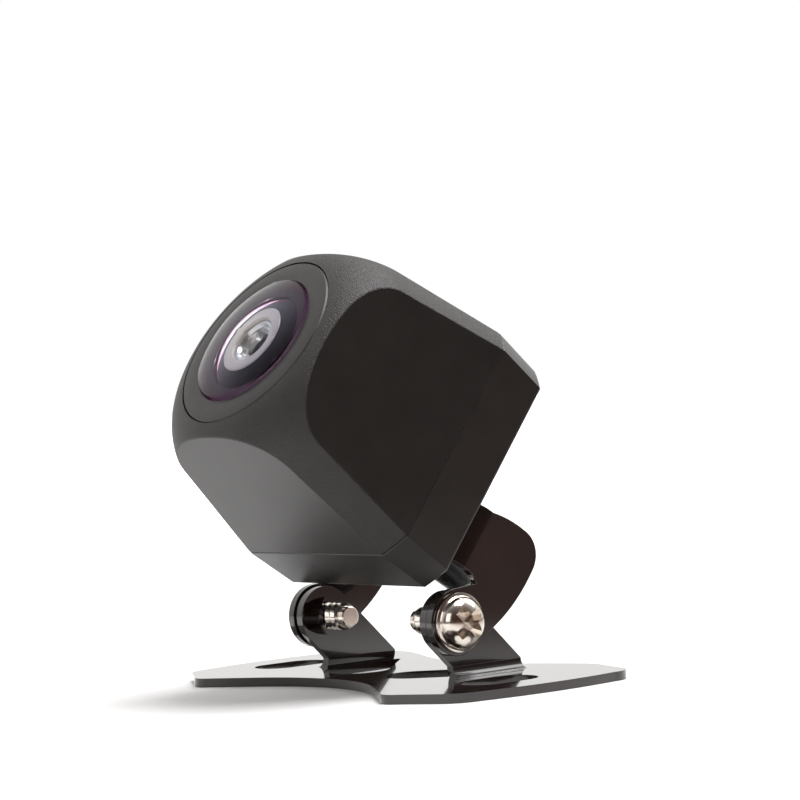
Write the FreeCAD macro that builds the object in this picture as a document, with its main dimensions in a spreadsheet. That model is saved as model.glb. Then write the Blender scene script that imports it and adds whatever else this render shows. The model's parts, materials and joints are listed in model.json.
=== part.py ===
import FreeCAD, Part
import math
import os

import Sketcher

# Backup camera: a small cube head with a domed fisheye lens on a folded-sheet bracket.
#
# Part frame: +X to the side, +Y to the rear, +Z up, lens towards -Y and up.
# The origin is on the underside of the base plate, straight below the tilt axis.
# Every piece of the head is drawn in the head's own optical frame (x to the side,
# y up the head, z forward along the lens axis, z = 0 at the joint between the front
# shell and the back cover) and is then placed by the tilt angle.

DIMENSIONS = {
    # bracket and tilt axis
    "tilt_angle": 38.0,
    "sheet_thick": 0.8,
    "tilt_axis_height": 5.52,
    "axis_behind_joint": 9.48,
    "axis_below_lens": 12.04,
    # housing
    "half_width": 11.5,
    "side_draft": 0.127,
    "corner_radius": 14.95,
    "corner_slope": 0.2,
    "nose_turn_forward": 9.6,
    "nose_turn_radius": 7.0,
    "edge_round": 0.22,
    "wall_thick": 1.5,
    "front_wall_rear": 12.0,
    "ring_seat_depth": 13.9,
    "ring_seat_radius": 8.44,
    "barrel_bore_radius": 5.3,
    "cover_depth": 5.588,
    "cover_back_half": 11.17,
    "cover_back_corner": 14.58,
    "cover_wall": 1.2,
    "cover_edge_round": 0.4,
    "joint_round": 0.12,
    "post_inner": 6.5,
    "post_half": 3.0,
    "post_depth": 7.0,
    "post_centre": 8.3,
    "post_hole": 0.82,
    "cover_room_depth": 6.0,
    "cover_screw_hole": 0.9,
    "cover_screw_sink": 1.55,
    "cover_screw_head": 1.45,
    "cover_screw_height": 0.95,
    "cover_screw_shank": 0.8,
    "cover_screw_length": 8.5,
    "cover_screw_recess": 0.5,
    # lens
    "ring_outer": 8.33,
    "ring_inner": 6.22,
    "ring_edge": 0.12,
    "ring_land": 6.36,
    "dome_radius": 6.15,
    "dome_rim_forward": 15.81,
    "dome_sag": 1.45,
    "dome_rear": 14.95,
    "dome_hollow_radius": 4.7,
    "dome_hollow_sag": 1.5,
    "accent_outer": 3.28,
    "accent_inner": 2.17,
    "accent_forward": 15.6,
    "barrel_head_radius": 6.15,
    "barrel_head_rear": 13.95,
    "barrel_face": 14.93,
    "face_cone_radius": 4.6,
    "face_cone_gap": 0.02,
    "barrel_radius": 5.0,
    "barrel_rear": 4.0,
    "barrel_bore": 3.55,
    "barrel_mouth": 2.3,
    "lens_radius": 3.5,
    "pupil_radius": 1.1,
    "cone_radius": 2.1,
    "cone_rear": 14.32,
    "cone_front": 15.35,
    "seal_radius": 5.85,
    "seal_section": 0.3,
    "seal_groove_half": 0.33,
    # boards
    "board_half": 8.6,
    "board_notch": 6.3,
    "board_thick": 1.0,
    "sensor_board_rear": 0.6,
    "main_board_rear": -2.8,
    "main_board_thick": 0.8,
    "holder_foot_half": 6.2,
    "holder_foot_rear": 1.6,
    "holder_screw_place": 5.2,
    "holder_screw_head": 0.95,
    "holder_screw_shank": 0.5,
    "filter_half": 3.5,
    "filter_rear": 3.42,
    "filter_thick": 0.35,
    # gasket
    "gasket_half": 10.95,
    "gasket_corner": 1.48,
    "gasket_width": 0.6,
    "gasket_thick": 0.4,
    "gasket_slack": 0.03,
    # gland
    "gland_drop": 3.9,
    "gland_root_radius": 2.4,
    "gland_tip_radius": 1.8,
    "gland_length": 11.2,
    "gland_bore": 1.3,
    # yoke
    "arm_inner": 9.48,
    "yoke_bend": 2.0,
    "web_top": 2.1,
    "web_bottom": 7.8,
    "arm_crest": 1.4,
    "arm_depth": 8.5,
    "arm_corner": 2.4,
    "arm_waist": 7.6,
    "arm_waist_drop": 10.0,
    "arm_throat": 3.75,
    "arm_throat_drop": 8.2,
    "arm_eye": 2.87,
    "eye_back_angle": -18.5,
    "eye_front_angle": 134.0,
    "arm_hole": 1.33,
    "yoke_screw_across": 5.6,
    "yoke_screw_drop": 5.0,
    "yoke_screw_shank": 1.0,
    "yoke_screw_head": 1.9,
    "yoke_screw_slack": 0.1,
    "boss_radius": 1.9,
    # base
    "ear_outer": 9.25,
    "ear_eye": 2.7,
    "ear_bend": 0.9,
    "ear_hole": 1.26,
    "collar_radius": 1.7,
    "collar_length": 1.2,
    "window_kerf": 0.25,
    "slot_place": 14.7,
    "slot_back": 0.4,
    "slot_half_length": 3.7,
    "slot_half_width": 2.25,
    "waist_front": 5.6,
    "waist_rear": 8.9,
    "neck_half": 9.0,
    "neck_front_dip": 2.7,
    "neck_rear_dip": 2.3,
    "toe_place": 13.7,
    "toe_front": 10.4,
    "side_half": 20.4,
    "side_front": 5.6,
    "side_rear": 8.8,
    "heel_place": 13.3,
    "heel_rear": 12.4,
    "lobe_round": 1.6,
    # screws
    "screw_shank": 1.25,
    "screw_tip": 4.78,
    "screw_tip_radius": 0.77,
    "screw_head_base": 10.3,
    "screw_flange_radius": 2.56,
    "screw_flange": 0.38,
    "screw_crown_radius": 2.25,
    "screw_head_height": 1.9,
    "washer_radius": 2.25,
    "washer_hole": 1.3,
    "washer_thick": 0.2,
}

doc = FreeCAD.newDocument("backup_camera")
X_AXIS = FreeCAD.Vector(1, 0, 0)
Y_AXIS = FreeCAD.Vector(0, 1, 0)
Z_AXIS = FreeCAD.Vector(0, 0, 1)
nodes = []

sheet = doc.addObject("Spreadsheet::Sheet", "dims")
for row, (alias, number) in enumerate(DIMENSIONS.items(), 1):
    sheet.set(f"A{row}", alias)
    sheet.set(f"B{row}", str(number))
    sheet.setAlias(f"B{row}", alias)
doc.recompute()


# ---------------------------------------------------------------- helpers

def bind(thing, **sizes):
    """Tie properties of an object to expressions on the sheet."""
    for name, expression in sizes.items():
        thing.setExpression(name.replace("__", "."), expression)


def size(thing, expression):
    """The number that an expression has now, for a first guess of the geometry."""
    found = thing.evalExpression(expression)
    return float(getattr(found, "Value", found))


def keep(thing, name):
    """Make a finished object a node of the model."""
    thing.Label = name
    nodes.append(thing)
    return thing


def on_head(thing):
    """Place a piece drawn in the optical frame on the tilted head."""
    upright = 90 - DIMENSIONS["tilt_angle"]
    thing.Placement = FreeCAD.Placement(FreeCAD.Vector(), FreeCAD.Rotation(X_AXIS, upright))
    back = "dims.axis_behind_joint"
    drop = "dims.axis_below_lens"
    turn = "dims.tilt_angle"
    bind(
        thing,
        Placement__Rotation__Angle=f"90 - {turn}",
        Placement__Base__y=f"{drop} * sin({turn}) - {back} * cos({turn})",
        Placement__Base__z=f"dims.tilt_axis_height + {back} * sin({turn}) + {drop} * cos({turn})",
    )
    return thing


def new_body(name):
    return doc.addObject("PartDesign::Body", name)


def sketch_on(body, plane, name, offset=None):
    """A sketch on one of the body's own origin planes, moved along its normal by an expression."""
    sketch = body.newObject("Sketcher::SketchObject", name)
    support = next(f for f in body.Origin.OriginFeatures if f.Role == plane)
    sketch.AttachmentSupport = [(support, "")]
    sketch.MapMode = "FlatFace"
    if offset:
        bind(sketch, AttachmentOffset__Base__z=offset)
    return sketch


def fix_point(sketch, index, end, x, y):
    """Hold one end of a piece of geometry at x, y, both expressions."""
    for kind, expression in (("DistanceX", x), ("DistanceY", y)):
        rule = Sketcher.Constraint(kind, -1, 1, index, end, size(sketch, expression))
        place = sketch.addConstraint(rule)
        sketch.setExpression(f"Constraints[{place}]", expression)


def outline(sketch, corners):
    """A closed outline through corners (x, y), or (x, y, radius, side) where an arc starts.

    side is 1 where the arc swells to the right of the way round, and -1 to the left.
    """
    points = [FreeCAD.Vector(size(sketch, c[0]), size(sketch, c[1]), 0) for c in corners]
    ends = []
    for i, corner in enumerate(corners):
        start = points[i]
        stop = points[(i + 1) % len(points)]
        if len(corner) == 2:
            index = sketch.addGeometry(Part.LineSegment(start, stop))
            ends.append((index, 1, 2))
            continue
        radius = size(sketch, corner[2])
        side = corner[3]
        chord = stop - start
        leftward = FreeCAD.Vector(-chord.y, chord.x, 0).normalize()
        rise = radius - math.sqrt(max(radius**2 - (chord.Length / 2) ** 2, 0))
        middle = (start + stop) * 0.5 - leftward * rise * side
        first, last = (start, stop) if side > 0 else (stop, start)
        index = sketch.addGeometry(Part.Arc(first, middle, last))
        ends.append((index, 1, 2) if side > 0 else (index, 2, 1))
        rule = sketch.addConstraint(Sketcher.Constraint("Radius", index, radius))
        sketch.setExpression(f"Constraints[{rule}]", corner[2])
    for i, (index, start, _) in enumerate(ends):
        before, _, stop = ends[i - 1]
        sketch.addConstraint(Sketcher.Constraint("Coincident", before, stop, index, start))
        fix_point(sketch, index, start, corners[i][0], corners[i][1])


def circle(sketch, x, y, radius):
    centre = FreeCAD.Vector(size(sketch, x), size(sketch, y), 0)
    index = sketch.addGeometry(Part.Circle(centre, Z_AXIS, size(sketch, radius)))
    fix_point(sketch, index, 3, x, y)
    rule = sketch.addConstraint(Sketcher.Constraint("Radius", index, size(sketch, radius)))
    sketch.setExpression(f"Constraints[{rule}]", radius)


def pad(body, sketch, length):
    feature = body.newObject("PartDesign::Pad", f"{sketch.Name}_pad")
    feature.Profile = sketch
    bind(feature, Length=length)
    return feature


def pocket(body, sketch):
    """Cut a sketch right through the body, both ways, and make sure that it cut something."""
    doc.recompute()
    before = body.Shape.Volume
    feature = body.newObject("PartDesign::Pocket", f"{sketch.Name}_pocket")
    feature.Profile = sketch
    feature.Type = "ThroughAll"
    feature.Midplane = True
    doc.recompute()
    if body.Shape.Volume >= before:
        raise RuntimeError(f"{feature.Name} cuts nothing")
    return feature


def mirrored(body, *features):
    """Repeat features on the other side of the body's YZ plane."""
    doc.recompute()
    feature = body.newObject("PartDesign::Mirrored", f"{body.Name}_mirror")
    feature.Originals = list(features)
    plane = next(f for f in body.Origin.OriginFeatures if f.Role == "YZ_Plane")
    feature.MirrorPlane = (plane, [""])
    body.Tip = feature
    return feature


def turned(name, corners):
    """A body turned about its own z axis from an outline of (radius, z) corners."""
    body = new_body(name)
    sketch = sketch_on(body, "XZ_Plane", f"{name}_profile")
    outline(sketch, corners)
    feature = body.newObject("PartDesign::Revolution", f"{name}_turn")
    feature.Profile = sketch
    feature.ReferenceAxis = (sketch, ["V_Axis"])
    feature.Angle = 360
    return body


def slab(name, corners, rear, thick):
    """A body of one pad on the xy plane, from z = rear."""
    body = new_body(name)
    sketch = sketch_on(body, "XY_Plane", f"{name}_outline", rear)
    outline(sketch, corners)
    pad(body, sketch, thick)
    return body


def cut_square(half, corner):
    """A square whose four corners are cut off at 45 degrees."""
    flat = f"({half} - {corner})"
    return [
        (f"-{half}", f"-{flat}"),
        (f"-{flat}", f"-{half}"),
        (flat, f"-{half}"),
        (half, f"-{flat}"),
        (half, flat),
        (flat, half),
        (f"-{flat}", half),
        (f"-{half}", flat),
    ]


def notched_square(half, notch):
    """A square with a square bite out of each corner, which clears the screw posts."""
    return [
        (f"-{half}", f"-{notch}"),
        (f"-{notch}", f"-{notch}"),
        (f"-{notch}", f"-{half}"),
        (notch, f"-{half}"),
        (notch, f"-{notch}"),
        (half, f"-{notch}"),
        (half, notch),
        (notch, notch),
        (notch, half),
        (f"-{notch}", half),
        (f"-{notch}", notch),
        (f"-{half}", notch),
    ]


def cylinder(name, radius, height, x="0", y="0", z="0"):
    thing = doc.addObject("Part::Cylinder", name)
    bind(thing, Radius=radius, Height=height)
    bind(thing, Placement__Base__x=x, Placement__Base__y=y, Placement__Base__z=z)
    return thing


def block(name, half_x, half_y, height, x="0", y="0", z="0"):
    thing = doc.addObject("Part::Box", name)
    bind(thing, Length=f"2 * {half_x}", Width=f"2 * {half_y}", Height=height)
    bind(thing, Placement__Base__x=f"{x} - {half_x}")
    bind(thing, Placement__Base__y=f"{y} - {half_y}", Placement__Base__z=z)
    return thing


def cone(name, radius_low, radius_high, height, z="0"):
    thing = doc.addObject("Part::Cone", name)
    bind(thing, Radius1=radius_low, Radius2=radius_high, Height=height, Placement__Base__z=z)
    return thing


def tapered_block(name, half_low, half_high, length, z="0"):
    """A square block along z whose sides lean in evenly from half_low to half_high."""
    thing = doc.addObject("Part::Wedge", name)
    thing.Placement = FreeCAD.Placement(FreeCAD.Vector(), FreeCAD.Rotation(X_AXIS, 90))
    bind(thing, Xmin=f"-{half_low}", Xmax=half_low, Zmin=f"-{half_low}", Zmax=half_low)
    bind(thing, X2min=f"-{half_high}", X2max=half_high, Z2min=f"-{half_high}", Z2max=half_high)
    bind(thing, Ymin="0", Ymax=length, Placement__Base__z=z)
    return thing


def joined(name, *things):
    if len(things) == 1:
        return things[0]
    fused = doc.addObject("Part::MultiFuse", name)
    fused.Shapes = list(things)
    return fused


def less(name, base, *tools):
    result = doc.addObject("Part::Cut", name)
    result.Base = base
    result.Tool = joined(f"{name}_tools", *tools)
    return result


def shared(name, first, second):
    result = doc.addObject("Part::Common", name)
    result.Base = first
    result.Tool = second
    return result


def group(name, *things):
    """Separate solids that make one node."""
    result = doc.addObject("Part::Compound", name)
    result.Links = list(things)
    return result


def one_on_head(name, thing):
    """Make one solid that has its own place in the optical frame a node of the head."""
    keep(on_head(group(name, thing)), name)


def mirror_of(thing, name):
    result = doc.addObject("Part::Mirroring", name)
    result.Source = thing
    result.Normal = X_AXIS
    return result


def rounded_edges(name, base, radius, wanted):
    """Round every edge of base for which wanted(edge, neighbouring faces) is true."""
    doc.recompute()
    result = doc.addObject("Part::Fillet", name)
    result.Base = base
    blend = size(sheet, radius)
    chosen = []
    for number, edge in enumerate(base.Shape.Edges, 1):
        faces = base.Shape.ancestorsOfType(edge, Part.Face)
        if wanted(edge, faces):
            chosen.append((number, blend, blend))
    result.Edges = chosen
    return result


def corners_of(place):
    """The four places of things that sit in the four corners of the housing."""
    return [(f"{sx}{place}", f"{sy}{place}") for sx in ("", "-") for sy in ("", "-")]


YOKE_SCREWS = (
    ("dims.yoke_screw_across", "-dims.yoke_screw_drop"),
    ("-dims.yoke_screw_across", "-dims.yoke_screw_drop"),
)
HOLDER_SCREWS = (
    ("dims.holder_screw_place", "dims.holder_screw_place"),
    ("-dims.holder_screw_place", "-dims.holder_screw_place"),
)


# ---------------------------------------------------------------- housing

NOSE_ARC = (
    "((dims.corner_radius - dims.corner_slope * dims.nose_turn_forward - dims.nose_turn_radius)"
    " / sqrt(1 + dims.corner_slope ^ 2))"
)
NOSE_TIP = f"(dims.nose_turn_forward + {NOSE_ARC})"


def is_flat(face):
    return isinstance(face.Surface, Part.Plane)


def flat_meets_round(edge, faces):
    """True on the long edges where a flat side runs into the rounded corner or nose."""
    flats = [f for f in faces if is_flat(f) and abs(f.normalAt(0, 0).z) < 0.5]
    rounds = [f for f in faces if not is_flat(f)]
    return bool(flats) and bool(rounds)


def rim_of(facing):
    """Picks the outer edges of the joint face, which looks along z by the sign of facing."""
    def wanted(edge, faces):
        level = abs(edge.BoundBox.ZMin) < 0.001 and abs(edge.BoundBox.ZMax) < 0.001
        return level and any(is_flat(f) and f.normalAt(0, 0).z * facing > 0.9 for f in faces)
    return wanted


def make_front_shell():
    """Round tapered body, sliced by four leaning flats, hollow, open at the back."""
    lean = "sqrt(1 + dims.corner_slope ^ 2)"
    nose = turned(
        "shell_nose",
        [
            ("0", "0"),
            ("dims.corner_radius", "0"),
            (
                f"dims.nose_turn_radius + {NOSE_ARC} / {lean}",
                f"dims.nose_turn_forward + {NOSE_ARC} * dims.corner_slope / {lean}",
                NOSE_ARC,
                1,
            ),
            ("dims.nose_turn_radius", NOSE_TIP),
            ("0", NOSE_TIP),
        ],
    )
    flats = tapered_block(
        "shell_flats",
        "dims.half_width",
        "(dims.half_width - dims.side_draft * 16)",
        "16",
    )
    rounded = rounded_edges(
        "shell_rounded",
        shared("shell_block", nose, flats),
        "edge_round",
        flat_meets_round,
    )
    outside = rounded_edges("shell_outside", rounded, "joint_round", rim_of(facing=-1))
    depth = "dims.front_wall_rear"
    hollow_block = tapered_block(
        "shell_hollow_block",
        "(dims.half_width - dims.wall_thick)",
        f"(dims.half_width - dims.wall_thick - dims.side_draft * {depth})",
        depth,
    )
    hollow_cone = cone(
        "shell_hollow_cone",
        "dims.corner_radius - dims.wall_thick",
        f"dims.corner_radius - dims.wall_thick - dims.corner_slope * {depth}",
        depth,
    )
    posts = [
        block(f"shell_post{i}", "dims.post_half", "dims.post_half", "dims.post_depth", *place)
        for i, place in enumerate(corners_of("(dims.post_inner + dims.post_half)"))
    ]
    hollow = less("shell_hollow", shared("shell_room", hollow_block, hollow_cone), *posts)
    holes = [
        cylinder(f"shell_post_hole{i}", "dims.post_hole", "dims.post_depth - 1", *place)
        for i, place in enumerate(corners_of("dims.post_centre"))
    ]
    seat = cylinder("shell_ring_seat", "dims.ring_seat_radius", "5", z="dims.ring_seat_depth")
    bore = cylinder("shell_bore", "dims.barrel_bore_radius", "5", z="dims.front_wall_rear - 1")
    seal_room = less(
        "shell_seal_groove",
        cylinder(
            "groove_outer", "dims.seal_radius + dims.seal_groove_half", "0.62", z="dims.ring_seat_depth - 0.6"
        ),
        cylinder("groove_inner", "dims.seal_radius - dims.seal_groove_half", "1", z="dims.ring_seat_depth - 1"),
    )
    gasket_bed = gasket_frame("shell_gasket_bed", "dims.gasket_slack")
    shell = less("front_shell", outside, hollow, seat, bore, seal_room, gasket_bed, *holes)
    keep(on_head(shell), "front_shell")


def gasket_frame(name, slack):
    """The square frame of the joint gasket, or with some slack the groove that it lies in."""
    body = new_body(name)
    sketch = sketch_on(body, "XY_Plane", f"{name}_outline")
    outline(sketch, cut_square(f"(dims.gasket_half + {slack})", "dims.gasket_corner"))
    inner = f"(dims.gasket_half - dims.gasket_width - {slack})"
    outline(sketch, cut_square(inner, "(dims.gasket_corner - 0.25)"))
    pad(body, sketch, f"dims.gasket_thick + {slack}")
    return body


def back_edge(edge, faces):
    """True on the outer edges of the cover's back face."""
    back = [f for f in faces if is_flat(f) and f.normalAt(0, 0).z < -0.9]
    return bool(back)


def make_back_cover():
    """Shallow cup that closes the shell, with screw holes, the gland's hole and two tapped bosses."""
    rear = "-dims.cover_depth"
    depth = "dims.cover_depth"
    flats = tapered_block("cover_flats", "dims.cover_back_half", "dims.half_width", depth, z=rear)
    corner = cone("cover_corner", "dims.cover_back_corner", "dims.corner_radius", depth, z=rear)
    rounded = rounded_edges(
        "cover_rounded", shared("cover_block", flats, corner), "cover_edge_round", back_edge
    )
    outside = rounded_edges("cover_outside", rounded, "joint_round", rim_of(facing=1))
    room_depth = "(dims.cover_depth - dims.cover_wall)"
    room = block(
        "cover_room",
        "(dims.half_width - dims.wall_thick)",
        "(dims.half_width - dims.wall_thick)",
        room_depth,
        z=f"-{room_depth}",
    )
    deep = "dims.cover_room_depth"
    drum = cylinder("cover_drum", "dims.corner_radius - dims.wall_thick", deep, z=f"-{deep}")
    posts = [
        block(f"cover_post{i}", "dims.post_half", "dims.post_half", deep, *place, z=f"-{deep}")
        for i, place in enumerate(corners_of("(dims.post_inner + dims.post_half)"))
    ]
    bosses = [
        cylinder(f"cover_boss{i}", "dims.boss_radius", "1.5", *place, z=f"-{room_depth} - 0.1")
        for i, place in enumerate(YOKE_SCREWS)
    ]
    hollow = less("cover_hollow", shared("cover_space", room, drum), *posts, *bosses)
    holes = [
        cylinder(f"cover_hole{i}", "dims.cover_screw_hole", deep, *place, z=f"-{deep}")
        for i, place in enumerate(corners_of("dims.post_centre"))
    ]
    heads = [
        cylinder(f"cover_head{i}", "dims.cover_screw_sink", "1.6", *place, z=f"{rear} - 0.1")
        for i, place in enumerate(corners_of("dims.post_centre"))
    ]
    taps = [
        cylinder(f"cover_tap{i}", "dims.yoke_screw_shank + 0.02", "3", *place, z=f"{rear} - 0.1")
        for i, place in enumerate(YOKE_SCREWS)
    ]
    gland = cylinder("cover_gland", "dims.gland_root_radius + 0.02", "3", y="-dims.gland_drop", z=f"-{deep}")
    keep(on_head(less("back_cover", outside, hollow, gland, *holes, *heads, *taps)), "back_cover")


def make_cover_screws():
    """Four small screws that hold the cover to the shell, heads down in their counterbores."""
    screws = []
    head_rear = "-dims.cover_depth + dims.cover_screw_recess"
    wing = "0.85"
    wing_thick = "0.16"
    for i, place in enumerate(corners_of("dims.post_centre")):
        head = cylinder(
            f"cover_screw_head{i}", "dims.cover_screw_head", "dims.cover_screw_height", *place, z=head_rear
        )
        shank = cylinder(
            f"cover_screw_shank{i}", "dims.cover_screw_shank", "dims.cover_screw_length", *place,
            z=f"{head_rear} + 0.9",
        )
        slot_one = block(f"cover_slot_a{i}", wing, wing_thick, "0.7", *place, z=f"{head_rear} - 0.3")
        slot_two = block(f"cover_slot_b{i}", wing_thick, wing, "0.7", *place, z=f"{head_rear} - 0.3")
        whole = joined(f"cover_screw_blank{i}", head, shank)
        screws.append(less(f"cover_screw{i}", whole, slot_one, slot_two))
    keep(on_head(group("cover_screws", *screws)), "cover_screws")


# ---------------------------------------------------------------- lens

def make_trim_ring():
    """Ring round the glass: its face carries on the round of the nose and is flat at the glass."""
    over = "(dims.ring_outer - dims.nose_turn_radius)"
    shoulder = f"dims.nose_turn_forward + sqrt({NOSE_ARC} ^ 2 - ({over} - dims.ring_edge) ^ 2)"
    body = turned(
        "lens_trim_ring",
        [
            ("dims.ring_inner", "dims.ring_seat_depth"),
            ("dims.ring_outer", "dims.ring_seat_depth"),
            ("dims.ring_outer", f"{shoulder} - dims.ring_edge"),
            ("dims.ring_outer - dims.ring_edge", shoulder, NOSE_ARC, 1),
            ("dims.nose_turn_radius", NOSE_TIP),
            ("dims.ring_land", NOSE_TIP),
            ("dims.ring_inner", f"{NOSE_TIP} - dims.ring_edge"),
        ],
    )
    keep(on_head(body), "lens_trim_ring")


def make_dome():
    """Front glass, a meniscus with a hollow back."""
    rim = "dims.dome_radius"
    top = "dims.dome_rim_forward"
    outer_arc = "((dims.dome_radius ^ 2 + dims.dome_sag ^ 2) / (2 * dims.dome_sag))"
    hollow = "dims.dome_hollow_radius"
    inner_arc = "((dims.dome_hollow_radius ^ 2 + dims.dome_hollow_sag ^ 2) / (2 * dims.dome_hollow_sag))"
    body = turned(
        "lens_dome",
        [
            (hollow, "dims.dome_rear"),
            (rim, "dims.dome_rear"),
            (rim, top, outer_arc, 1),
            ("0", f"{top} + dims.dome_sag"),
            ("0", "dims.dome_rear + dims.dome_hollow_sag", inner_arc, -1),
        ],
    )
    keep(on_head(body), "lens_dome")


def make_barrel():
    """Threaded lens tube with a wide head that the dome sits on, and a cone that rises to the pale ring."""
    body = turned(
        "lens_barrel",
        [
            ("dims.barrel_bore", "dims.barrel_rear"),
            ("dims.barrel_radius - 0.3", "dims.barrel_rear"),
            ("dims.barrel_radius", "dims.barrel_rear + 0.3"),
            ("dims.barrel_radius", "dims.barrel_head_rear"),
            ("dims.barrel_head_radius", "dims.barrel_head_rear"),
            ("dims.barrel_head_radius", "dims.barrel_face"),
            ("dims.face_cone_radius", "dims.barrel_face"),
            ("dims.accent_outer + dims.face_cone_gap", "dims.accent_forward - 0.05"),
            ("dims.accent_outer + dims.face_cone_gap", "dims.barrel_face"),
            ("dims.barrel_mouth", "dims.barrel_face"),
            ("dims.barrel_mouth", "14.3"),
            ("dims.barrel_bore", "14.3"),
        ],
    )
    keep(on_head(body), "lens_barrel")


def make_accent_ring():
    """Pale ring seen round the pupil through the glass."""
    front = "dims.accent_forward"
    body = turned(
        "lens_accent_ring",
        [
            ("dims.accent_inner", "dims.barrel_face"),
            ("dims.accent_outer", "dims.barrel_face"),
            ("dims.accent_outer", f"{front} - 0.1"),
            ("dims.accent_outer - 0.1", front),
            ("dims.accent_inner + 0.15", front),
            ("dims.accent_inner", f"{front} - 0.15"),
        ],
    )
    keep(on_head(body), "lens_accent_ring")


def make_pupil_cone():
    """Stepped metal ring that funnels down to the pupil lens, in two even steps."""
    rim = "dims.cone_radius"
    front = "dims.cone_front"
    step = "0.3"
    body = turned(
        "pupil_cone",
        [
            ("dims.pupil_radius", "dims.cone_rear"),
            (rim, "dims.cone_rear"),
            (rim, front),
            (f"{rim} - 0.25", front),
            (f"{rim} - 0.4", f"{front} - {step}"),
            (f"{rim} - 0.6", f"{front} - {step}"),
            (f"{rim} - 0.7", f"{front} - 2 * {step}"),
            ("dims.pupil_radius + 0.1", f"{front} - 2 * {step}"),
        ],
    )
    keep(on_head(body), "pupil_cone")


def lens_element(name, rear, front, rear_sag, front_sag, radius="dims.lens_radius"):
    """A glass element with domed faces: sag is positive where the face swells outwards."""
    rear_arc = f"(({radius} ^ 2 + {rear_sag} ^ 2) / (2 * {rear_sag}))"
    front_arc = f"(({radius} ^ 2 + {front_sag} ^ 2) / (2 * {front_sag}))"
    body = turned(
        name,
        [
            ("0", f"{rear} - {rear_sag}", rear_arc, 1),
            (radius, rear),
            (radius, front, front_arc, 1),
            ("0", f"{front} + {front_sag}"),
        ],
    )
    keep(on_head(body), name)


def make_lens_stack():
    """Everything that is slid into the barrel from behind, front to back."""
    lens_element("pupil_lens", "13.4", "13.85", "0.1", "0.4")
    washer(keep_as="front_spacer", inner="2.9", outer="3.5", rear="11.4", thick="1.9")
    lens_element("middle_lens", "10.0", "10.9", "0.35", "0.4")
    washer(keep_as="aperture_stop", inner="0.9", outer="3.5", rear="9.45", thick="0.15")
    lens_element("rear_lens", "6.4", "8.0", "0.5", "0.6")
    washer(keep_as="lens_retainer", inner="2.6", outer="3.5", rear="4.3", thick="1.4")


def washer(keep_as, inner, outer, rear, thick):
    ring = less(
        keep_as,
        cylinder(f"{keep_as}_disc", outer, thick, z=rear),
        cylinder(f"{keep_as}_hole", inner, f"{thick} + 2", z=f"{rear} - 1"),
    )
    keep(on_head(ring), keep_as)


def make_lens_seal():
    ring = doc.addObject("Part::Torus", "lens_seal_ring")
    bind(ring, Radius1="dims.seal_radius", Radius2="dims.seal_section")
    bind(ring, Placement__Base__z="dims.ring_seat_depth - dims.seal_section + 0.03")
    one_on_head("lens_seal", ring)


# ---------------------------------------------------------------- electronics

def make_lens_holder():
    """Square-footed tube on the sensor board that the barrel screws into."""
    half = "dims.holder_foot_half"
    foot = block("holder_foot", half, half, "2.2", z="dims.holder_foot_rear")
    tube = cylinder("holder_tube", "6.1", "dims.front_wall_rear - 2", z="2")
    room = block("holder_room", "4.2", "4.2", "1.4", z="1.5")
    window = block("holder_window", "2.7", "2.7", "3", z="2")
    seat_half = "(dims.filter_half + 0.05)"
    filter_seat = block("holder_filter_seat", seat_half, seat_half, "0.6", z="dims.filter_rear - 0.02")
    bore = cylinder("holder_bore", "dims.barrel_radius + 0.05", "12", z="3.8")
    taps = [
        cylinder(f"holder_tap{i}", "dims.holder_screw_shank + 0.02", "1.7", *place, z="1.5")
        for i, place in enumerate(HOLDER_SCREWS)
    ]
    holder = less("lens_holder", joined("holder_blank", foot, tube), room, window, filter_seat, bore, *taps)
    keep(on_head(holder), "lens_holder")
    pane = block(
        "ir_filter_pane", "dims.filter_half", "dims.filter_half", "dims.filter_thick", z="dims.filter_rear"
    )
    one_on_head("ir_filter", pane)


def make_holder_screws():
    screws = []
    rear = "dims.sensor_board_rear"
    for i, place in enumerate(HOLDER_SCREWS):
        head = cylinder(f"holder_screw_head{i}", "dims.holder_screw_head", "0.6", *place, z=f"{rear} - 0.6")
        shank = cylinder(f"holder_screw_shank{i}", "dims.holder_screw_shank", "2.9", *place, z=f"{rear} - 0.3")
        screws.append(joined(f"holder_screw{i}", head, shank))
    keep(on_head(group("holder_screws", *screws)), "holder_screws")


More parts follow.
